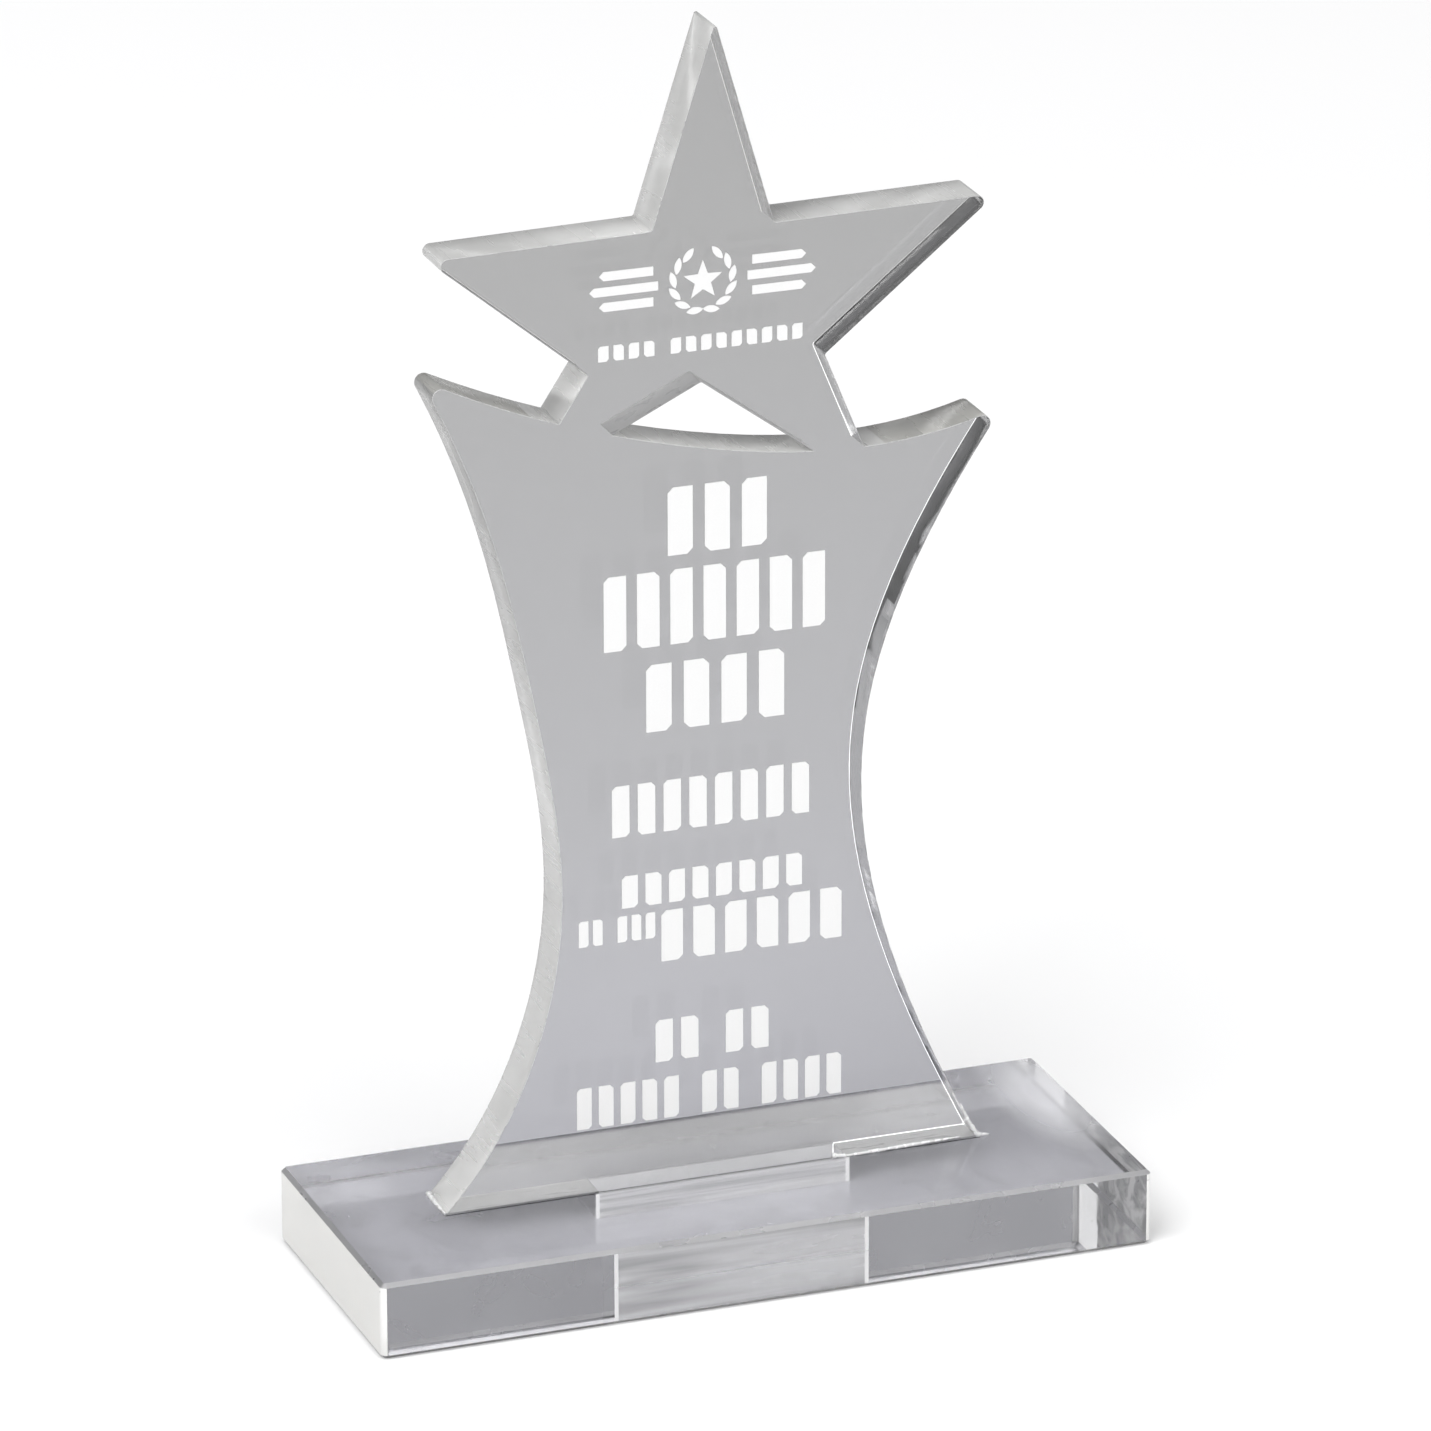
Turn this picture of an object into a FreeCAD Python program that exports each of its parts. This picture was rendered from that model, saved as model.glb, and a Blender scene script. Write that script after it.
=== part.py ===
import FreeCAD, Part
import math
import os

# Star-topped award: a laser-cut acrylic upright whose tenon is cemented into a mortise
# through a thick acrylic base block, with a flat white print on the upright's front face.
# Millimetres. Origin: centre of the base block's underside. +Z up, front face towards -Y.

V = FreeCAD.Vector

# ---- driving dimensions -------------------------------------------------------------------
HEIGHT = 155.0              # underside of the base to the star's rounded top point

BASE_W = 98.7
BASE_D = 38.6
BASE_T = 9.7
BASE_EDGE = 0.5             # polished chamfer round the block's top and underside
BASE_CORNER_R = 0.8         # the block's upright corners

SHEET_T = 6.6               # thickness of the upright's sheet
SHEET_Y = 1.1               # middle of the sheet, just behind the block's middle

CEMENT_T = 0.15             # cement film on the tenon's faces and under the shoulders
CEMENT_END = 0.5            # thicker cement at the tenon's two ends
BEAD = 0.35                 # cement squeezed out round the foot

TENON_LEFT = -15.8
TENON_RIGHT = 16.0
TENON_SHY = 0.2             # the tenon stops this far above the block's underside

TOP_R = 0.3                 # the star's top point
ARM_R = 0.9                 # the star's side points
HORN_R = 1.1                # the body's horns
NOTCH_R = 0.35              # laser beam radius left in the inner corners

INK_T = 0.12                # printed ink film

FRONT_Y = SHEET_Y - SHEET_T / 2
BACK_Y = SHEET_Y + SHEET_T / 2
FOOT_Z = BASE_T + CEMENT_T

# ---- the upright's outline, front view, as (x, z) ------------------------------------------
# The star's sharp top point loses this much height when it is rounded to TOP_R.
TOP_LOSS = 0.73
STAR_TOP = (-0.55, HEIGHT + TOP_LOSS)
STAR_RIGHT_NOTCH = (6.8, 130.2)
STAR_RIGHT_ARM = (35.0, 130.6)
STAR_RIGHT_HIP = (13.2, 113.1)
STAR_RIGHT_LEG = (20.8, 94.5)       # hidden inside the body
STAR_CROTCH = (-2.4, 111.5)
STAR_LEFT_LEG = (-25.3, 100.6)      # hidden inside the body
STAR_LEFT_HIP = (-16.5, 114.0)
STAR_LEFT_ARM = (-36.2, 130.3)
STAR_LEFT_NOTCH = (-8.5, 130.8)

LEFT_HORN = (-37.3, 115.9)
RIGHT_HORN = (36.0, 103.9)
FOOT_LEFT = (-35.3, FOOT_Z)
FOOT_RIGHT = (33.2, FOOT_Z)
TOP_EDGE_VIA = [(-20.5, 108.5), (-3.2, 103.5), (14.0, 101.0)]
LEFT_SIDE_VIA = [(-28.7, 95.1), (-23.3, 72.0), (-20.3, 47.6), (-24.3, 27.4)]
RIGHT_SIDE_VIA = [(22.4, 34.6), (18.0, 57.8), (19.0, 68.9), (25.4, 86.7)]

# ---- the print, front view -----------------------------------------------------------------
# Each row is (left, right, bottom, top, pieces in each group): plain slabs, no lettering.
TITLE_ROWS = [
    (-6.7, 5.8, 90.3, 98.8, (3,)),
    (-14.8, 13.2, 79.1, 88.5, (7,)),
    (-9.5, 8.0, 68.3, 76.8, (4,)),
]
NAME_ROWS = [(-13.9, 11.2, 55.4, 61.9, (8,))]
AWARD_ROWS = [
    (-12.7, 10.3, 46.2, 50.3, (8,)),
    (-18.2, -8.5, 41.9, 45.2, (2, 3)),
    (-7.7, 15.4, 38.7, 45.2, (6,)),
]
MESSAGE_ROWS = [
    (-8.5, 6.0, 25.7, 31.1, (2, 2)),
    (-18.6, 15.4, 18.3, 23.6, (5, 2, 4)),
]
CAPTION_ROWS = [(-15.3, 10.3, 115.5, 117.4, (4, 9))]
SLAB_GAP = 0.33             # gap between slabs, as a part of their pitch
GROUP_GAP = 0.75            # extra gap between groups, as a part of the pitch
SLAB_CUT = 0.22             # corner cut of a slab, as a part of its width

CREST_X = -2.2
CREST_Z = 124.1
CREST_STAR_R = 2.5
WREATH_R = 3.75
WREATH_LEAVES = 6           # pairs, from the bottom of the wreath to its top
LEAF_L = 2.1
LEAF_W = 0.85
WING_START = 5.6
WING_BAR_T = 1.1
WING_PITCH = 1.9
WING_BARS = [(0, 8.0), (1, 6.2), (-1, 6.2)]     # (step up from the middle, length)


def at(point, y):
    return V(point[0], y, point[1])


def straight(points, y):
    """Edges through the points of an open outline."""
    return [Part.makeLine(at(a, y), at(b, y)) for a, b in zip(points, points[1:])]


def smooth(points, y):
    """One smooth edge through the points."""
    curve = Part.BSplineCurve()
    curve.interpolate([at(p, y) for p in points])
    return curve.toShape()


def plate(edges, thickness):
    """A closed outline in an XZ plane, made solid towards +Y."""
    return Part.Face(Part.Wire(edges)).extrude(V(0, thickness, 0))


def box(x0, x1, y0, y1, z0, z1):
    return Part.makeBox(x1 - x0, y1 - y0, z1 - z0, V(x0, y0, z0))


def through_edges(shape, corners, reach):
    """The edges that cross the sheet at the named corners."""
    found = []
    for edge in shape.Edges:
        ends = [v.Point for v in edge.Vertexes]
        if len(ends) != 2 or abs(abs(ends[0].y - ends[1].y) - SHEET_T) > 0.01:
            continue
        for x, z in corners:
            if math.hypot(ends[0].x - x, ends[0].z - z) < reach:
                found.append(edge)
                break
    return found


def upright_plate():
    star_points = [
        STAR_TOP, STAR_RIGHT_NOTCH, STAR_RIGHT_ARM, STAR_RIGHT_HIP, STAR_RIGHT_LEG,
        STAR_CROTCH, STAR_LEFT_LEG, STAR_LEFT_HIP, STAR_LEFT_ARM, STAR_LEFT_NOTCH, STAR_TOP,
    ]
    star = plate(straight(star_points, FRONT_Y), SHEET_T)

    top_edge = smooth([LEFT_HORN] + TOP_EDGE_VIA + [RIGHT_HORN], FRONT_Y)
    left_side = smooth([LEFT_HORN] + LEFT_SIDE_VIA + [FOOT_LEFT], FRONT_Y)
    right_side = smooth([FOOT_RIGHT] + RIGHT_SIDE_VIA + [RIGHT_HORN], FRONT_Y)
    foot = Part.makeLine(at(FOOT_LEFT, FRONT_Y), at(FOOT_RIGHT, FRONT_Y))
    body = plate([left_side, foot, right_side, top_edge], SHEET_T)

    tenon = box(TENON_LEFT, TENON_RIGHT, FRONT_Y, BACK_Y, TENON_SHY, FOOT_Z + 1)
    shape = star.fuse([body, tenon]).removeSplitter()

    shape = shape.makeFillet(TOP_R, through_edges(shape, [STAR_TOP], 0.1))
    shape = shape.makeFillet(ARM_R, through_edges(shape, [STAR_RIGHT_ARM, STAR_LEFT_ARM], 0.1))
    shape = shape.makeFillet(HORN_R, through_edges(shape, [LEFT_HORN, RIGHT_HORN], 0.1))
    notches = [STAR_RIGHT_NOTCH, STAR_RIGHT_HIP, STAR_CROTCH, STAR_LEFT_HIP, STAR_LEFT_NOTCH]
    shape = shape.makeFillet(NOTCH_R, through_edges(shape, notches, 0.1))
    return shape


def base_block():
    block = box(-BASE_W / 2, BASE_W / 2, -BASE_D / 2, BASE_D / 2, 0, BASE_T)
    corners = [e for e in block.Edges if abs(e.Vertexes[0].Z - e.Vertexes[-1].Z) > BASE_T / 2]
    block = block.makeFillet(BASE_CORNER_R, corners)
    rims = [e for f in block.Faces if abs(f.normalAt(0, 0).z) > 0.9 for e in f.Edges]
    block = block.makeChamfer(BASE_EDGE, rims)
    mortise = box(TENON_LEFT - CEMENT_END, TENON_RIGHT + CEMENT_END,
                  FRONT_Y - CEMENT_T, BACK_Y + CEMENT_T, -1, BASE_T + 1)
    return block.cut(mortise)


def tab_cement_film():
    """The film round the tenon and under the upright's shoulders, with its squeezed-out bead."""
    sleeve = box(TENON_LEFT - CEMENT_END, TENON_RIGHT + CEMENT_END,
                 FRONT_Y - CEMENT_T, BACK_Y + CEMENT_T, TENON_SHY, BASE_T)
    bed = box(FOOT_LEFT[0] - BEAD, FOOT_RIGHT[0] + BEAD,
              FRONT_Y - BEAD, BACK_Y + BEAD, BASE_T, FOOT_Z)
    tenon = box(TENON_LEFT, TENON_RIGHT, FRONT_Y, BACK_Y, 0, FOOT_Z)
    return sleeve.fuse(bed).cut(tenon).removeSplitter()


def ink(outline):
    """A closed (x, z) outline printed on the upright's front face."""
    edges = straight(outline + [outline[0]], FRONT_Y - INK_T)
    return plate(edges, INK_T)


def slab(x0, x1, z0, z1, rising):
    """A plain upright block with two opposite corners cut."""
    cut = SLAB_CUT * (x1 - x0)
    if rising:
        return ink([(x0, z0), (x1 - cut, z0), (x1, z0 + cut), (x1, z1), (x0 + cut, z1), (x0, z1 - cut)])
    return ink([(x0 + cut, z0), (x1, z0), (x1, z1 - cut), (x1 - cut, z1), (x0, z1), (x0, z0 + cut)])


def slab_rows(rows):
    solids = []
    for left, right, bottom, top, groups in rows:
        count = sum(groups)
        gaps = (len(groups) - 1) * GROUP_GAP
        pitch = (right - left) / (count + gaps - SLAB_GAP)
        x = left
        for group in groups:
            for index in range(group):
                solids.append(slab(x, x + pitch * (1 - SLAB_GAP), bottom, top, index % 2 == 0))
                x += pitch
            x += pitch * GROUP_GAP
    return Part.makeCompound(solids)


def five_point_star(x, z, radius):
    inner = radius * 0.42
    points = []
    for index in range(10):
        angle = math.radians(90 + 36 * index)
        reach = radius if index % 2 == 0 else inner
        points.append((x + reach * math.cos(angle), z + reach * math.sin(angle)))
    return ink(points)


def leaf(x, z, angle):
    """A pointed leaf about (x, z), made of two arcs, lying along the angle."""
    along = V(math.cos(angle), 0, math.sin(angle))
    across = V(-math.sin(angle), 0, math.cos(angle))
    middle = at((x, z), FRONT_Y - INK_T)
    root = middle - along * (LEAF_L / 2)
    tip = middle + along * (LEAF_L / 2)
    one = Part.Arc(root, middle + across * (LEAF_W / 2), tip).toShape()
    two = Part.Arc(tip, middle - across * (LEAF_W / 2), root).toShape()
    return plate([one, two], INK_T)


def crest_print():
    solids = [five_point_star(CREST_X, CREST_Z, CREST_STAR_R)]
    for side in (-1, 1):
        for index in range(WREATH_LEAVES):
            turn = math.radians(-90 + 16 + index * 27)
            x = CREST_X + side * WREATH_R * math.cos(turn)
            z = CREST_Z + WREATH_R * math.sin(turn)
            lean = turn + math.radians(68)
            solids.append(leaf(x, z, lean if side > 0 else math.pi - lean))
        for step, length in WING_BARS:
            near = CREST_X + side * (WING_START + 0.6 * abs(step))
            far = near + side * length
            low = CREST_Z + step * WING_PITCH - WING_BAR_T / 2
            high = low + WING_BAR_T
            point = far + side * WING_BAR_T / 2
            middle = (low + high) / 2
            solids.append(ink([(near, low), (far, low), (point, middle), (far, high), (near, high)]))
    return Part.makeCompound(solids)


os.makedirs("parts", exist_ok=True)

NODES = {
    "base_block": base_block(),
    "upright_plate": upright_plate(),
    "tab_cement_film": tab_cement_film(),
    "crest_print": crest_print(),
    "caption_print": slab_rows(CAPTION_ROWS),
    "title_print": slab_rows(TITLE_ROWS),
    "name_print": slab_rows(NAME_ROWS),
    "award_print": slab_rows(AWARD_ROWS),
    "message_print": slab_rows(MESSAGE_ROWS),
}

for name, shape in NODES.items():
    shape.exportStep("parts/" + name + ".step")
    bounds = shape.BoundBox
    print(name, len(shape.Solids), "solids", round(shape.Volume, 1), "mm3",
          "x", round(bounds.XMin, 2), round(bounds.XMax, 2),
          "y", round(bounds.YMin, 2), round(bounds.YMax, 2),
          "z", round(bounds.ZMin, 2), round(bounds.ZMax, 2), shape.isValid())
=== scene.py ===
import math

import bmesh
import bpy
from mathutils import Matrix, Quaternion, Vector

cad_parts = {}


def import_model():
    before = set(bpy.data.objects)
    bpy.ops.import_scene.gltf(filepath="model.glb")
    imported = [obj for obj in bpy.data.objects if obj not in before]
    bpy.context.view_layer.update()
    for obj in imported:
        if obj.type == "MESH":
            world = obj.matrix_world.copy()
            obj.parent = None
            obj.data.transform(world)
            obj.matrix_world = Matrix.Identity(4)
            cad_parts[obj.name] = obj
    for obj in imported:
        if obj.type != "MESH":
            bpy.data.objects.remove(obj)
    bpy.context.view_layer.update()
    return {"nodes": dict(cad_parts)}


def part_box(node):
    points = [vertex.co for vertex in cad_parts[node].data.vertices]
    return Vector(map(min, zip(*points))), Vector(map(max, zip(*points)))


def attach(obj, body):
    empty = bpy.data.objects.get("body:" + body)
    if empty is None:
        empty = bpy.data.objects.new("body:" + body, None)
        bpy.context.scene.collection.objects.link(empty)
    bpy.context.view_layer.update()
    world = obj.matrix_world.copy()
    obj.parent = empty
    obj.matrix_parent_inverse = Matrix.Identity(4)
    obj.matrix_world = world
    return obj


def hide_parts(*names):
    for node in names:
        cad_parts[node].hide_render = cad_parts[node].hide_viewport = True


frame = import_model()

# A desk award in clear grey acrylic: a star above a waisted body, cemented into a thick block.
# Metres, +Z up, printed face towards -Y; left and right are those of someone reading the print.

MM = 0.001

# ---- camera: a long lens, from the left of the front and a little above --------------------
CAMERA_AZIMUTH = math.radians(-20.3)
CAMERA_ELEVATION = math.radians(20.7)
CAMERA_ROLL = math.radians(-0.12)
CAMERA_DISTANCE = 1.2671
CAMERA_LENS = 266.9
CAMERA_SENSOR = 36
CAMERA_REACH = 50
AIM = Vector((0.0, -0.3, 68.53)) * MM

# ---- lights: name, azimuth and elevation in degrees, distance, width and height, watts -----
LIGHTS = [
    ("key", -60, 50, 2.4, (1.8, 1.8), 44),
    ("fill", 25, 35, 3.2, (2.4, 1.6), 28),
]

# ---- set: a floor, and a room that is bright in front and has a wall behind ----------------
# ROOM_TURN and WALL_RISE are spans of a direction's Y and Z: front to wall, and low to high.
FLOOR_SIZE = 8
FLOOR_DROP = 0.05 * MM
ROOM_FRONT = (0.90, 0.90, 0.90)
ROOM_TURN = (-0.3, 0.5)
WALL_LOW = (0.12, 0.12, 0.12)
WALL_HIGH = (0.34, 0.34, 0.35)
WALL_RISE = (0.02, 0.36)

# ---- acrylic -------------------------------------------------------------------------------
ACRYLIC_IOR = 1.49
CEMENT_IOR = 1.46
BLOCK_TINT = (0.82, 0.82, 0.86)
BLOCK_TINT_PALE = (0.86, 0.86, 0.89)
WARM_WHITE = (1.0, 1.0, 0.98)

# ---- the sheet's tint by height above the base's underside, in millimetres; the pale lowest stops are painted light ---
FACE_TINTS_AND_PAINTED_FOOT_LIGHT = [
    (10.0, (0.93, 0.93, 0.93)),
    (17.45, (0.92, 0.92, 0.91)),
    (17.65, (0.485, 0.485, 0.52)),
    (60.0, (0.44, 0.44, 0.455)),
    (130.0, (0.415, 0.415, 0.415)),
]

# ---- the sheet's foot, under a border that sinks towards the back: hazy, less clear and pale, painted light over the block's shade seen through it
FOOT_HAZE = 0.10
FOOT_CLEAR = 0.82
FOOT_TOP = (17.45 * MM, 17.65 * MM)
FOOT_SLOPE = 0.244

# ---- the upright's outline: heights and half-widths that part its edges --------------------
SHOULDER_MARGIN = 2 * MM
GAP_HALF = 9 * MM
HIPS = 22 * MM
HORNS = 95 * MM
STAR_LEGS = 118 * MM
# EDGE_FADE spans the heights over which the body's left edges darken, painted shade.
EDGE_FADE = (65 * MM, 100 * MM)
EDGE_BEVEL = 0.22 * MM

# ---- the mortise: it holds the tenon between its ends, and cement past them ----------------
# Its walls lie nearer the block's middle than these shares of the block's length and depth.
MORTISE_SHARE = (0.45, 0.3)
TENON_ENDS = (-15.8 * MM, 16.0 * MM)
CEMENT_GAP = 0.02 * MM

# ---- cement squeezed out round the foot, in millimetres: the runs' points and radii --------
BEADS = [
    (
        [(14.3, -2.30, 10.1), (16.2, -2.35, 9.85), (24.0, -2.30, 10.0), (31.0, -2.25, 10.1)],
        [0.34, 0.20, 0.24, 0.10],
    ),
    (
        [(31.1, -2.15, 14.4), (32.1, -2.25, 12.0), (33.2, -2.25, 10.1), (34.9, -2.0, 9.78)],
        [0.06, 0.26, 0.34, 0.08],
    ),
    ([(-35.4, 4.3, 10.0), (-35.5, 1.5, 9.95), (-35.4, -2.0, 9.85)], [0.36, 0.30, 0.12]),
]
BEAD_SIDES = 8
BEAD_STEPS = 6
BEAD_UNEVENNESS = 0.22
BEAD_WAVES = (2.3, 0.7)

# ---- the milky patch on the block's top, near its right end, a painted highlight: stretched millimetres ---
PAINTED_HIGHLIGHT_STRETCH = (1.0, 0.35, 1.0)
PAINTED_HIGHLIGHT_CENTRE = (45.5, 2.6, 9.7)
PAINTED_HIGHLIGHT_REACH = (1.5, 7.0)

# ---- the block's right end: pale and glowing behind a border that wanders between these depths, a painted highlight ------
PAINTED_GLOW_BORDER = (8.6 * MM, 9.3 * MM)
PAINTED_GLOW_WANDER = 0.5 * MM
PAINTED_GLOW = 0.46

# ---- the print -----------------------------------------------------------------------------
INK_STANDOFF = 0.01 * MM
PRINT_AREAS = (
    "crest_print", "caption_print", "title_print", "name_print", "award_print", "message_print",
)

# ---- meshes: how a CAD copy is welded and made whole, and which edges are then rounded -----
WELD = 0.001 * MM
FLAT_ANGLE = math.radians(0.4)
SHARP_ANGLE = math.radians(25)

# ---- the part of a normal along an axis that makes a face look that way --------------------
SLANTED = 0.1
HALFWAY = 0.5
UPWARD = 0.6
FACING = 0.9
SQUARE = 0.99
FLAT = 0.9999
FRONT_RIM_DOWN = -0.2
BACK_RIM_DOWN = -0.3

# ---- sockets of a mix node that blends colours ---------------------------------------------
MIX_FACTOR, MIX_A, MIX_B, MIX_RESULT = 0, 6, 7, 2


# ---- node helpers --------------------------------------------------------------------------
def new_material(name):
    """A new material, its node tree and its main shader."""
    mat = bpy.data.materials.new(name)
    mat.use_nodes = True
    tree = mat.node_tree
    return mat, tree, tree.nodes["Principled BSDF"]


def add(tree, kind, **settings):
    """A new node of this kind."""
    node = tree.nodes.new(kind)
    for key, value in settings.items():
        setattr(node, key, value)
    return node


def feed(tree, socket, value):
    """Link a node's output to the socket, or set the socket to a plain value."""
    if isinstance(value, bpy.types.NodeSocket):
        tree.links.new(value, socket)
    else:
        socket.default_value = value


def coordinate(tree, axis, space="Object"):
    """One coordinate of the point being shaded."""
    place = add(tree, "ShaderNodeTexCoord")
    split = add(tree, "ShaderNodeSeparateXYZ")
    tree.links.new(place.outputs[space], split.inputs["Vector"])
    return split.outputs[axis]


def object_coordinates(tree, stretch):
    """Object coordinates in millimetres, stretched."""
    place = add(tree, "ShaderNodeTexCoord")
    mapping = add(tree, "ShaderNodeMapping")
    mapping.inputs["Scale"].default_value = [1000 * s for s in stretch]
    tree.links.new(place.outputs["Object"], mapping.inputs["Vector"])
    return mapping.outputs["Vector"]


def noise(tree, scale, detail=3.0, distortion=0.0, stretch=(1, 1, 1)):
    """Noise fixed to the object, with about this many features a millimetre."""
    node = add(tree, "ShaderNodeTexNoise")
    node.inputs["Scale"].default_value = scale
    node.inputs["Detail"].default_value = detail
    node.inputs["Distortion"].default_value = distortion
    tree.links.new(object_coordinates(tree, stretch), node.inputs["Vector"])
    return node.outputs["Fac"]


def spread(tree, value, low, high, from_low=0.3, from_high=0.7):
    """The value's span, from_low to from_high, stretched over low to high and kept inside it."""
    node = add(tree, "ShaderNodeMapRange")
    node.inputs["From Min"].default_value = from_low
    node.inputs["From Max"].default_value = from_high
    node.inputs["To Min"].default_value = low
    node.inputs["To Max"].default_value = high
    tree.links.new(value, node.inputs["Value"])
    return node.outputs["Result"]


def calculate(tree, operation, one, two):
    """A sum or product of two values, each a plain one or a node's output."""
    node = add(tree, "ShaderNodeMath", operation=operation)
    feed(tree, node.inputs[0], one)
    feed(tree, node.inputs[1], two)
    return node.outputs["Value"]


def blend_colours(tree, factor, one, two):
    """A blend of two colours, each a plain one or a node's output."""
    node = add(tree, "ShaderNodeMix", data_type="RGBA")
    feed(tree, node.inputs[MIX_A], (*one, 1) if isinstance(one, tuple) else one)
    feed(tree, node.inputs[MIX_B], (*two, 1) if isinstance(two, tuple) else two)
    feed(tree, node.inputs[MIX_FACTOR], factor)
    return node.outputs[MIX_RESULT]


def bump(tree, height, shader, strength, distance):
    """Raise the surface by a pattern, in looks only."""
    node = add(tree, "ShaderNodeBump")
    node.inputs["Strength"].default_value = strength
    node.inputs["Distance"].default_value = distance
    tree.links.new(height, node.inputs["Height"])
    tree.links.new(node.outputs["Normal"], shader.inputs["Normal"])


def make_clear(shader, roughness, clear=1.0):
    """Turn a shader into acrylic; the less clear it is, the milkier."""
    shader.inputs["Transmission Weight"].default_value = clear
    shader.inputs["IOR"].default_value = ACRYLIC_IOR
    shader.inputs["Roughness"].default_value = roughness


def make_painted_glow(shader, colour, glow):
    """Paint light onto ground faces and edges: an emission, though they are no lamp."""
    shader.inputs["Emission Color"].default_value = (*colour, 1)
    shader.inputs["Emission Strength"].default_value = glow


def mottle(tree, shader, pattern, dark, pale, smooth, rough):
    """Let colour and roughness follow one pattern."""
    feed(tree, shader.inputs["Base Color"], blend_colours(tree, pattern, dark, pale))
    feed(tree, shader.inputs["Roughness"], spread(tree, pattern, smooth, rough))


def grey(level):
    return (level, level, level)


# ---- the upright's materials ---------------------------------------------------------------
def polished_sheet():
    """The cast faces: even grey, a trace cooler towards the foot, which is hazy and pale; the pale
    foot is painted light over the block's shade seen through it.
    """
    mat, tree, shader = new_material("acrylic_sheet_face")
    make_clear(shader, 0.0)
    place = add(tree, "ShaderNodeTexCoord")
    sloped = add(tree, "ShaderNodeVectorMath", operation="DOT_PRODUCT")
    tree.links.new(place.outputs["Object"], sloped.inputs[0])
    sloped.inputs[1].default_value = (0, FOOT_SLOPE, 1)
    level = sloped.outputs["Value"]
    front = FOOT_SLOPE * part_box("upright_plate")[0][1]
    lowest = FACE_TINTS_AND_PAINTED_FOOT_LIGHT[0][0]
    highest = FACE_TINTS_AND_PAINTED_FOOT_LIGHT[-1][0]
    # The pale stops at the foot are painted light, offsetting the shade of the block seen through
    # the sheet.
    ramp = add(tree, "ShaderNodeValToRGB")
    stops = ramp.color_ramp.elements
    while len(stops) < len(FACE_TINTS_AND_PAINTED_FOOT_LIGHT):
        stops.new(0.5)
    for stop, (height, tint) in zip(stops, FACE_TINTS_AND_PAINTED_FOOT_LIGHT):
        stop.position = (height - lowest) / (highest - lowest)
        stop.color = (*tint, 1)
    share = spread(tree, level, 0.0, 1.0, lowest * MM + front, highest * MM + front)
    feed(tree, ramp.inputs["Fac"], share)
    feed(tree, shader.inputs["Base Color"], ramp.outputs["Color"])
    foot = [limit + front for limit in FOOT_TOP]
    smears = spread(tree, noise(tree, 0.08, 4.0, 0.6), 0.0, 0.035, 0.45, 0.8)
    haze = spread(tree, level, FOOT_HAZE, 0.0, *foot)
    feed(tree, shader.inputs["Roughness"], calculate(tree, "ADD", smears, haze))
    feed(tree, shader.inputs["Transmission Weight"], spread(tree, level, FOOT_CLEAR, 1.0, *foot))
    return mat


def satin_edge(name, clear, dark, pale, dimmest=1.0):
    """A laser-cut edge, satin with faint lines across it; its tone is painted light and shade, set
    by which way the edge faces, and it may darken towards the body's horns, painted shade.
    """
    mat, tree, shader = new_material(name)
    make_clear(shader, 0.2, clear)
    lines = noise(tree, 0.45, 3.0, 0.3, stretch=(1, 0.12, 1))
    broad = noise(tree, 0.14, 3.0, 0.5)
    shade = add(tree, "ShaderNodeVectorMath", operation="SCALE")
    feed(tree, shade.inputs["Vector"], blend_colours(tree, broad, dark, pale))
    # Painted shade: the edge darkens higher up, towards the horns.
    feed(tree, shade.inputs["Scale"], spread(tree, coordinate(tree, "Z"), 1.0, dimmest, *EDGE_FADE))
    feed(tree, shader.inputs["Base Color"], shade.outputs["Vector"])
    feed(tree, shader.inputs["Roughness"], spread(tree, lines, 0.24, 0.30))
    bump(tree, lines, shader, 0.03, 0.03 * MM)
    return mat


def polished_edge():
    """The edges that face down and to the right: flame-polished, mirrors from inside, and painted
    darker grey as shade.
    """
    mat, tree, shader = new_material("acrylic_polished_edge")
    make_clear(shader, 0.04, 0.68)
    lines = noise(tree, 0.8, 3.0, 0.3, stretch=(1, 0.1, 1))
    mottle(tree, shader, lines, grey(0.27), grey(0.36), 0.08, 0.16)
    bump(tree, lines, shader, 0.06, 0.03 * MM)
    return mat


def bedded_foot():
    """The undersides of the upright's shoulders, wetted by the cement: pale, no longer clear."""
    mat, tree, shader = new_material("acrylic_bedded_foot")
    make_clear(shader, 0.3, 0.25)
    patches = noise(tree, 0.6, 3.0, 0.4, stretch=(0.2, 1, 1))
    mottle(tree, shader, patches, grey(0.86), (0.99, 0.99, 0.98), 0.2, 0.5)
    return mat


def eased_edge(name, clear, dark, pale, glow=0.0, grain=0.5, rough=0.45):
    """A narrow rim between two faces: fine-ground; given a glow, it shines by itself, painted
    light.
    """
    mat, tree, shader = new_material(name)
    make_clear(shader, 0.3, clear)
    make_painted_glow(shader, (1.0, 1.0, 1.0), glow)
    mottle(tree, shader, noise(tree, grain, 4.0, 0.4), dark, pale, 0.2, rough)
    return mat


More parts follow.
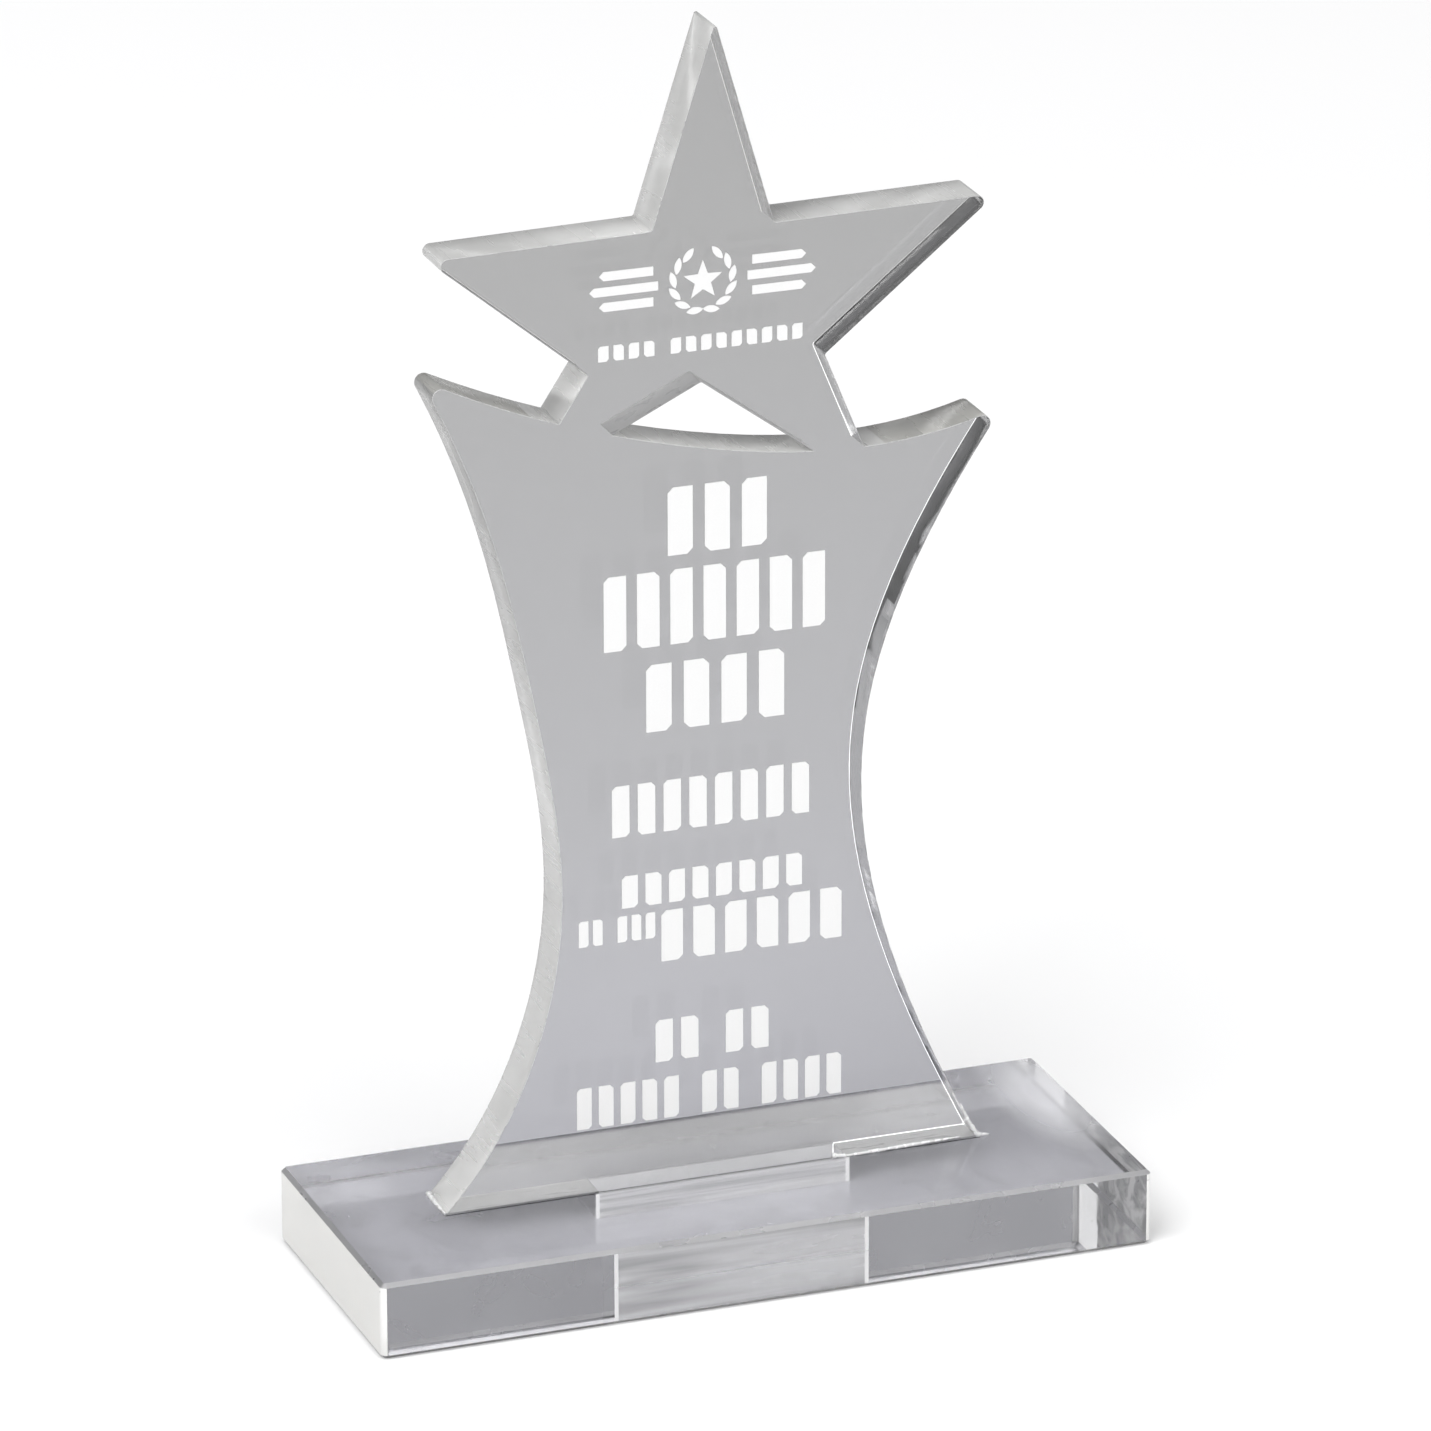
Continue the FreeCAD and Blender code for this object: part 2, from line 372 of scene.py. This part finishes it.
# ---- the block's materials -----------------------------------------------------------------
def polished_block(name, least, most, highlight_clear=1.0):
    """A polished face; its last argument is how clear it stays in the milky patch near the right
    end, a painted highlight.
    """
    mat, tree, shader = new_material(name)
    make_clear(shader, 0.0)
    broad = noise(tree, 0.03, 2.0)
    feed(tree, shader.inputs["Base Color"], blend_colours(tree, broad, BLOCK_TINT, BLOCK_TINT_PALE))
    smears = noise(tree, 0.16, 4.0, 0.8, stretch=(1, 0.6, 1))
    feed(tree, shader.inputs["Roughness"], spread(tree, smears, least, most, 0.4, 0.7))
    # Painted highlight: a milky, paler patch near the right end.
    away = add(tree, "ShaderNodeVectorMath", operation="DISTANCE")
    feed(tree, away.inputs[0], object_coordinates(tree, PAINTED_HIGHLIGHT_STRETCH))
    away.inputs[1].default_value = PAINTED_HIGHLIGHT_CENTRE
    clear = spread(tree, away.outputs["Value"], highlight_clear, 1.0, *PAINTED_HIGHLIGHT_REACH)
    feed(tree, shader.inputs["Transmission Weight"], clear)
    return mat


def block_rim(name, clear, dark, pale):
    """A chamfer round the block's top or underside: satin; its tone in each place is painted light
    and shade.
    """
    return eased_edge(name, clear, dark, pale, grain=0.15, rough=0.4)


def block_corner():
    """The rounded upright corners: fine-ground, so they catch the light."""
    mat, tree, shader = new_material("acrylic_block_corner")
    make_clear(shader, 0.35, 0.3)
    grain = noise(tree, 0.6, 4.0, 0.4)
    mottle(tree, shader, grain, (0.80, 0.80, 0.79), (0.98, 0.98, 0.96), 0.25, 0.5)
    return mat


def sawn_left():
    """The left end: sawn, milky and faintly warm, with faint saw lines."""
    mat, tree, shader = new_material("acrylic_sawn_left")
    make_clear(shader, 0.4, 0.35)
    lines = noise(tree, 1.6, 5.0, 0.4, stretch=(1, 1, 0.15))
    broad = noise(tree, 0.35, 4.0, 0.6)
    mottle(tree, shader, broad, (0.78, 0.78, 0.76), (0.93, 0.92, 0.89), 0.3, 0.6)
    bump(tree, lines, shader, 0.5, 0.08 * MM)
    return mat


def sawn_right():
    """The right end: mottled grey where the saw ran clean; behind, pale and glowing, a painted
    highlight.
    """
    mat, tree, shader = new_material("acrylic_sawn_right")
    make_clear(shader, 0.5, 0.4)
    spots = noise(tree, 0.4, 4.0, 0.8, stretch=(1, 0.5, 1))
    patches = spread(tree, spots, 0.0, 1.0, 0.42, 0.6)
    clean = blend_colours(tree, patches, (0.34, 0.34, 0.33), (0.98, 0.98, 0.95))
    # Painted highlight: behind a wandering border the end turns pale and glows.
    wander = spread(tree, noise(tree, 0.5, 3.0, 0.5), -PAINTED_GLOW_WANDER, PAINTED_GLOW_WANDER)
    depth = calculate(tree, "ADD", coordinate(tree, "Y"), wander)
    painted_glow_share = spread(tree, depth, 0.0, 1.0, *PAINTED_GLOW_BORDER)
    feed(tree, shader.inputs["Base Color"], blend_colours(tree, painted_glow_share, clean, (0.90, 0.90, 0.89)))
    feed(tree, shader.inputs["Roughness"], spread(tree, spots, 0.25, 0.75))
    make_painted_glow(shader, WARM_WHITE, 0.0)
    glow = calculate(tree, "MULTIPLY", painted_glow_share, PAINTED_GLOW)
    feed(tree, shader.inputs["Emission Strength"], glow)
    bump(tree, spots, shader, 0.4, 0.1 * MM)
    return mat


def frost_and_painted_glow():
    """Ground acrylic, milky, with a glow of its own: painted light."""
    mat, tree, shader = new_material("acrylic_frost_and_painted_glow")
    make_clear(shader, 0.7, 0.4)
    make_painted_glow(shader, WARM_WHITE, PAINTED_GLOW)
    spots = noise(tree, 0.7, 3.0, 0.4)
    mottle(tree, shader, spots, (0.80, 0.80, 0.79), (0.98, 0.98, 0.97), 0.5, 0.9)
    return mat


def mortise_side():
    """The mortise's front wall: milled, pale, with streaks along the block."""
    mat, tree, shader = new_material("acrylic_mortise_side")
    make_clear(shader, 0.15, 0.25)
    streaks = noise(tree, 0.4, 3.0, 0.4, stretch=(0.06, 1, 1))
    patches = noise(tree, 0.25, 3.0, 0.5, stretch=(0.5, 1, 1))
    dark = blend_colours(tree, patches, (0.42, 0.42, 0.43), (0.64, 0.64, 0.62))
    share = spread(tree, streaks, 0.0, 1.0, 0.36, 0.54)
    feed(tree, shader.inputs["Base Color"], blend_colours(tree, share, dark, (1.0, 1.0, 0.99)))
    feed(tree, shader.inputs["Roughness"], spread(tree, streaks, 0.05, 0.35))
    bump(tree, streaks, shader, 0.3, 0.05 * MM)
    return mat


# ---- cement and ink ------------------------------------------------------------------------
def clear_cement():
    """The film in the joint: clear, with faint ripples."""
    mat, tree, shader = new_material("clear_cement")
    make_clear(shader, 0.05)
    shader.inputs["IOR"].default_value = CEMENT_IOR
    patches = noise(tree, 0.5, 3.0, 0.5)
    mottle(tree, shader, patches, grey(0.92), grey(1.0), 0.02, 0.25)
    bump(tree, patches, shader, 0.4, 0.05 * MM)
    return mat


def white_cement():
    """Cement squeezed out into the air: cured milky white."""
    mat, tree, shader = new_material("cement_bead")
    make_clear(shader, 0.25, 0.3)
    mottle(tree, shader, noise(tree, 0.9, 3.0, 0.5), grey(0.80), grey(1.0), 0.15, 0.4)
    return mat


def white_ink():
    """Opaque printed ink: satin, with a fine grain."""
    mat, tree, shader = new_material("white_ink")
    shader.inputs["Roughness"].default_value = 0.42
    grain = noise(tree, 6.0, 4.0)
    mottle(tree, shader, grain, grey(0.65), grey(0.72), 0.35, 0.5)
    bump(tree, grain, shader, 0.15, 0.01 * MM)
    return mat


# ---- pieces --------------------------------------------------------------------------------
def copy_of(node, name):
    """A clean mesh of a CAD node: welded, with its flat faces made whole."""
    source = frame["nodes"][node]
    mesh = bmesh.new()
    mesh.from_mesh(source.data)
    bmesh.ops.remove_doubles(mesh, verts=mesh.verts, dist=WELD)
    bmesh.ops.dissolve_limit(mesh, angle_limit=FLAT_ANGLE, verts=mesh.verts, edges=mesh.edges)
    data = bpy.data.meshes.new(name)
    mesh.to_mesh(data)
    mesh.free()
    piece = bpy.data.objects.new(name, data)
    bpy.context.scene.collection.objects.link(piece)
    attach(piece, "root")
    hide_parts(node)
    return piece


def paint(piece, choose, finishes):
    """Give each face the finish that choose names for it; return the names in slot order."""
    slots = list(finishes)
    for material in finishes.values():
        piece.data.materials.append(material)
    for face in piece.data.polygons:
        face.material_index = slots.index(choose(face))
    return slots


def soften(piece, width, slot):
    """Round a piece's sharp edges with the material in the slot given, keeping its faces flat."""
    bevel = piece.modifiers.new("edge", "BEVEL")
    bevel.width = width
    bevel.material = slot
    bevel.segments = 2
    bevel.limit_method = "ANGLE"
    bevel.angle_limit = SHARP_ANGLE
    bevel.harden_normals = True
    bevel.miter_outer = "MITER_ARC"
    for face in piece.data.polygons:
        face.use_smooth = True
    bpy.context.view_layer.objects.active = piece
    piece.select_set(True)
    bpy.ops.object.modifier_apply(modifier=bevel.name)
    piece.select_set(False)
    normals = [tuple(n.vector) for n in piece.data.corner_normals]
    for face in piece.data.polygons:
        if abs(face.normal.y) > FLAT:
            for corner in face.loop_indices:
                normals[corner] = tuple(face.normal)
    piece.data.normals_split_custom_set(normals)


def upright():
    """The star and body: each cut edge is finished by where it lies and which way it looks; the
    tones are painted light and shade, paler facing left, darker facing up and right.
    """
    piece = copy_of("upright_plate", "upright")
    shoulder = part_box("base_block")[1][2] + SHOULDER_MARGIN

    def finish(face):
        normal, centre = face.normal, face.center
        if abs(normal.y) > FACING:
            return "face"
        if normal.z < -FACING and centre.z < shoulder:
            return "foot"
        if normal.z <= normal.x:
            return "gap" if abs(centre.x) < GAP_HALF and centre.z < STAR_LEGS else "right"
        if centre.z < STAR_LEGS and abs(centre.x) > HIPS:
            return "body top" if normal.z > UPWARD and centre.z > HORNS else "body left"
        return "star top" if normal.z > UPWARD else "star left"

    def rim_finish(face):
        """The rims at the back are seen through the sheet; the bright, dim and white rims glow,
        painted light.
        """
        normal, centre = face.normal, face.center
        if normal.y < -SLANTED and normal.z < FRONT_RIM_DOWN:
            return "right"
        if normal.y > SLANTED and normal.z < normal.x:
            if centre.z < STAR_LEGS:
                return "painted highlight rim" if centre.x > GAP_HALF else "dim rim"
            return "dim rim" if normal.z < BACK_RIM_DOWN else "bright rim"
        return "soft rim"

    # Painted light and shade: the edges' tones follow which way they face, and the rims and gap
    # edges that glow are painted highlights.
    slots = paint(piece, finish, {
        "face": polished_sheet(),
        "star top": satin_edge("acrylic_upper_edge", 0.3, (0.48, 0.48, 0.47), (0.70, 0.70, 0.69)),
        "star left": satin_edge("acrylic_left_edge", 0.45, (0.60, 0.60, 0.59), (0.88, 0.88, 0.87)),
        "right": polished_edge(),
        "foot": bedded_foot(),
        "soft rim": eased_edge("acrylic_soft_rim", 0.5, grey(0.36), grey(0.72)),
        "bright rim": eased_edge("acrylic_bright_rim", 0.15, grey(0.86), grey(1.0), glow=0.8),
        "dim rim": eased_edge("acrylic_dim_rim", 0.15, grey(0.50), grey(0.70), glow=0.2),
        "gap": eased_edge(
            "acrylic_gap_edge", 0.5, (0.60, 0.60, 0.59), (0.85, 0.85, 0.84), glow=0.26,
        ),
        "painted highlight rim": eased_edge("acrylic_painted_highlight_rim", 0.15, grey(0.90), grey(1.0), glow=1.8),
        "body top": satin_edge("acrylic_body_top", 0.4, (0.36, 0.36, 0.35), (0.56, 0.555, 0.52)),
        "body left": satin_edge(
            "acrylic_body_edge", 0.45, (0.62, 0.62, 0.61), (0.88, 0.88, 0.87), dimmest=0.55,
        ),
    })
    soften(piece, EDGE_BEVEL, slots.index("soft rim"))
    for face in piece.data.polygons:
        if slots[face.material_index] == "soft rim":
            face.material_index = slots.index(rim_finish(face))


def block():
    """The base block, with the mortise's front wall parted at the tenon's ends."""
    piece = copy_of("base_block", "block")
    low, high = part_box("base_block")
    mesh = bmesh.new()
    mesh.from_mesh(piece.data)
    mesh.normal_update()
    for limit in TENON_ENDS:
        wall = [f for f in mesh.faces if f.normal.y > SQUARE and f.calc_center_median().y < 0]
        edges = dict.fromkeys(edge for face in wall for edge in face.edges)
        corners = dict.fromkeys(vertex for face in wall for vertex in face.verts)
        bmesh.ops.bisect_plane(
            mesh, geom=[*wall, *edges, *corners], plane_co=(limit, 0, 0), plane_no=(1, 0, 0),
        )
        mesh.normal_update()
    mesh.to_mesh(piece.data)
    mesh.free()
    middle_x = MORTISE_SHARE[0] * (high[0] - low[0])
    middle_y = MORTISE_SHARE[1] * (high[1] - low[1])

    def finish(face):
        normal, centre = face.normal, face.center
        if max(abs(part) for part in normal) < SQUARE:
            if abs(normal.z) < SLANTED:
                return "corner"
            if normal.y > HALFWAY:
                return "back rim above" if normal.z > 0 else "back rim below"
            return "rim above" if normal.z > 0 else "rim below"
        if abs(normal.z) > FACING:
            return "top" if normal.z > 0 else "face"
        if abs(centre.x) < middle_x and abs(centre.y) < middle_y:
            if normal.y < FACING:
                return "face"
            return "streaked" if TENON_ENDS[0] < centre.x < TENON_ENDS[1] else "frost_and_painted_glow"
        if normal.x < -FACING:
            return "left end"
        if normal.x > FACING:
            return "right end"
        return "back" if normal.y > FACING else "face"

    paint(piece, finish, {
        "face": polished_block("acrylic_block_face", 0.0, 0.01),
        "top": polished_block("acrylic_block_top", 0.10, 0.28, highlight_clear=0.36),
        "left end": sawn_left(),
        "right end": sawn_right(),
        "streaked": mortise_side(),
        "frost_and_painted_glow": frost_and_painted_glow(),
        "corner": block_corner(),
        # Painted light and shade on the chamfers: dark below the front, pale below the back,
        # lighter above the front and ends than above the back.
        "rim above": block_rim("acrylic_rim_above", 0.6, (0.40, 0.40, 0.41), (0.50, 0.50, 0.51)),
        "back rim above": block_rim(
            "acrylic_rim_behind", 1.0, (0.22, 0.22, 0.23), (0.30, 0.30, 0.31),
        ),
        "rim below": block_rim("acrylic_rim_below", 0.6, grey(0.14), grey(0.22)),
        "back": polished_block("acrylic_block_back", 0.18, 0.32),
        "back rim below": block_rim(
            "acrylic_rim_back_foot", 1.0, (0.80, 0.80, 0.81), (0.92, 0.92, 0.93),
        ),
    })


def bead(mesh, points, radii):
    """A closed, uneven run of cement through the points."""
    rings = []
    for index in range((len(points) - 1) * BEAD_STEPS + 1):
        span = min(index // BEAD_STEPS, len(points) - 2)
        part = index / BEAD_STEPS - span
        centre = Vector(points[span]).lerp(Vector(points[span + 1]), part)
        along = (Vector(points[span + 1]) - Vector(points[span])).normalized()
        across = along.cross(Vector((0, 0, 1))).normalized()
        above = across.cross(along)
        radius = radii[span] + (radii[span + 1] - radii[span]) * part
        wave = math.sin(BEAD_WAVES[0] * index) * math.sin(BEAD_WAVES[1] * index + 1)
        radius *= 1 + BEAD_UNEVENNESS * wave
        ring = []
        for side in range(BEAD_SIDES):
            turn = math.tau * side / BEAD_SIDES
            outward = across * math.cos(turn) + above * math.sin(turn)
            ring.append(mesh.verts.new(centre + outward * radius))
        rings.append(ring)
    for near, far in zip(rings, rings[1:]):
        for side in range(BEAD_SIDES):
            after = (side + 1) % BEAD_SIDES
            mesh.faces.new((near[side], near[after], far[after], far[side]))
    mesh.faces.new(rings[0][::-1])
    mesh.faces.new(rings[-1])


def cement():
    """The film, drawn in a little from the acrylic round it, and the beads."""
    piece = copy_of("tab_cement_film", "cement")
    mesh = bmesh.new()
    mesh.from_mesh(piece.data)
    mesh.normal_update()
    moves = []
    for vertex in mesh.verts:
        push = Vector((0, 0, 0))
        for axis in range(3):
            facing = [f.normal[axis] for f in vertex.link_faces if abs(f.normal[axis]) > FACING]
            push[axis] = -CEMENT_GAP * round(facing[0]) if facing else 0
        moves.append((vertex, push))
    for vertex, push in moves:
        vertex.co += push
    film_faces = len(mesh.faces)
    for points, radii in BEADS:
        bead(mesh, [Vector(point) * MM for point in points], [radius * MM for radius in radii])
    bmesh.ops.recalc_face_normals(mesh, faces=mesh.faces)
    mesh.to_mesh(piece.data)
    mesh.free()

    def finish(face):
        return "film" if face.index < film_faces else "bead"

    paint(piece, finish, {"film": clear_cement(), "bead": white_cement()})
    for face in piece.data.polygons:
        face.use_smooth = finish(face) == "bead"


def print_area(node, ink):
    """Printed marks, their backs held just clear of the sheet's face."""
    piece = copy_of(node, node.replace("_print", "_ink"))
    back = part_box(node)[1][1]
    for vertex in piece.data.vertices:
        if abs(vertex.co.y - back) < INK_STANDOFF:
            vertex.co.y = back - INK_STANDOFF
    paint(piece, lambda face: "ink", {"ink": ink})


# ---- set -----------------------------------------------------------------------------------
def floor():
    """A pale, dull floor just under the block."""
    bpy.ops.mesh.primitive_plane_add(size=FLOOR_SIZE)
    plane = bpy.context.object
    plane.name = "floor"
    plane.location.z = -FLOOR_DROP
    mat, tree, shader = new_material("pale_floor")
    shader.inputs["Base Color"].default_value = (0.9, 0.9, 0.9, 1)
    shader.inputs["Roughness"].default_value = 0.7
    shader.inputs["Specular IOR Level"].default_value = 0.2
    plane.data.materials.append(mat)


def world():
    """Soft studio surroundings: bright in front, a dark wall behind that pales upwards."""
    scene_world = bpy.data.worlds.new("studio")
    bpy.context.scene.world = scene_world
    scene_world.use_nodes = True
    tree = scene_world.node_tree
    up = spread(tree, coordinate(tree, "Z", "Generated"), 0.0, 1.0, *WALL_RISE)
    wall = blend_colours(tree, up, WALL_LOW, WALL_HIGH)
    behind = spread(tree, coordinate(tree, "Y", "Generated"), 0.0, 1.0, *ROOM_TURN)
    room = blend_colours(tree, behind, ROOM_FRONT, wall)
    feed(tree, tree.nodes["Background"].inputs["Color"], room)


def direction(azimuth, elevation):
    """The way from the award to a place round it; azimuth 0 is straight in front."""
    return Vector((
        math.sin(azimuth) * math.cos(elevation),
        -math.cos(azimuth) * math.cos(elevation),
        math.sin(elevation),
    ))


def area_light(name, azimuth, elevation, distance, size, watts):
    light = bpy.data.lights.new(name, "AREA")
    light.shape = "RECTANGLE"
    light.size, light.size_y = size
    light.energy = watts
    holder = bpy.data.objects.new(name, light)
    away = direction(math.radians(azimuth), math.radians(elevation))
    holder.location = AIM + away * distance
    holder.rotation_euler = away.to_track_quat("Z", "Y").to_euler()
    bpy.context.scene.collection.objects.link(holder)


def camera():
    data = bpy.data.cameras.new("camera")
    data.lens = CAMERA_LENS
    data.sensor_width = CAMERA_SENSOR
    data.clip_end = CAMERA_REACH
    holder = bpy.data.objects.new("camera", data)
    away = direction(CAMERA_AZIMUTH, CAMERA_ELEVATION)
    holder.location = AIM + away * CAMERA_DISTANCE
    holder.rotation_mode = "QUATERNION"
    roll = Quaternion((0, 0, 1), CAMERA_ROLL)
    holder.rotation_quaternion = away.to_track_quat("Z", "Y") @ roll
    bpy.context.scene.collection.objects.link(holder)
    bpy.context.scene.camera = holder


camera()
floor()
world()
for light in LIGHTS:
    area_light(*light)
bpy.context.scene.view_settings.view_transform = "Standard"

ink = white_ink()
upright()
block()
cement()
for node in PRINT_AREAS:
    print_area(node, ink)
